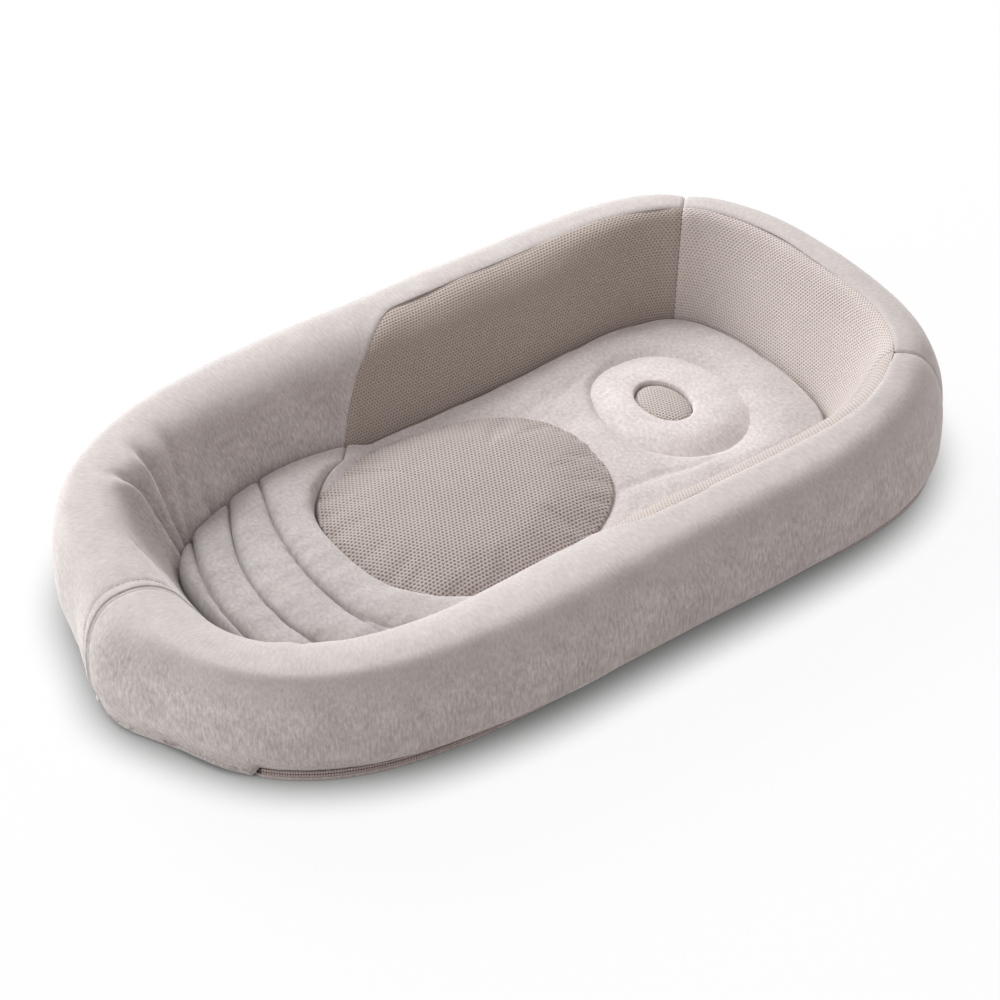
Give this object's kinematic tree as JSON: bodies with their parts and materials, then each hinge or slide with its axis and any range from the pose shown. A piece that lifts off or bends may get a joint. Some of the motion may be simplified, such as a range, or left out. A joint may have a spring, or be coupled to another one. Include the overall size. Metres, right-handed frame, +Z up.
{
  "type": "infant lounger",
  "caption": "Oblong padded infant lounger with a soft filled rim, air-mesh walls at the head, a zip round the base and a quilted insert with foot rolls, a seat pad and a head ring.",
  "frame": {"origin": "on the floor, under the middle of the length and the width", "axes": "+X towards the head end, +Y to the back side, +Z up"},
  "size_m": [0.8604, 0.504, 0.133],
  "materials": {
    "velour": "short-pile velour, warm grey",
    "air_mesh": "open air mesh, beige-taupe",
    "base_cloth": "plain woven base cloth",
    "lining": "plain cotton lining",
    "foam": null,
    "filling": null,
    "zip_tape": "woven zip tape, mauve grey",
    "zip_teeth": "nylon zip teeth",
    "zip_metal": "lacquered zinc zip parts"
  },
  "bodies": {
    "nest": {"base_fabric": "base_cloth", "base_pad": "foam", "floor_lining": "lining", "rim_cover_front": "velour", "rim_cover_back": "velour", "rim_cover_head": "velour", "foot_seam_band": "velour", "mesh_wall_front": "air_mesh", "mesh_wall_back": "air_mesh", "mesh_wall_head": "air_mesh", "bolster_front": "filling", "bolster_back": "filling", "bolster_head": "filling", "zip_tape_upper": "zip_tape", "zip_tape_lower": "zip_tape", "zip_teeth_upper": "zip_teeth", "zip_teeth_lower": "zip_teeth", "zip_stop_start": "zip_metal", "zip_stop_end": "zip_metal"},
    "zip_slider": {"zip_slider": "zip_metal"},
    "zip_pull": {"zip_pull": "zip_metal"},
    "insert": {"insert_underside": "lining", "insert_foam": "foam", "insert_cover": "velour", "foot_roll_1": "filling", "foot_roll_2": "filling", "foot_roll_3": "filling", "foot_roll_4": "filling", "seat_pad_foam": "foam", "seat_pad_mesh": "air_mesh", "head_ring_filling": "filling", "head_ring_cover": "velour", "head_mesh": "air_mesh"}
  },
  "joints": [
    {"name": "insert_lift", "type": "slide", "parent": "nest", "child": "insert", "axis": [0, 0, 1], "range_m": [0, 0.16]},
    {"name": "slider_run", "type": "slide", "parent": "nest", "child": "zip_slider", "axis": [1, 0, 0], "range_m": [0, 0.175]},
    {"name": "pull_pivot", "type": "hinge", "parent": "zip_slider", "child": "zip_pull", "pos_m": [-0.0364, 0.2257, 0.00715], "axis": [0, 0, -1], "range_deg": [0, 180]}
  ]
}
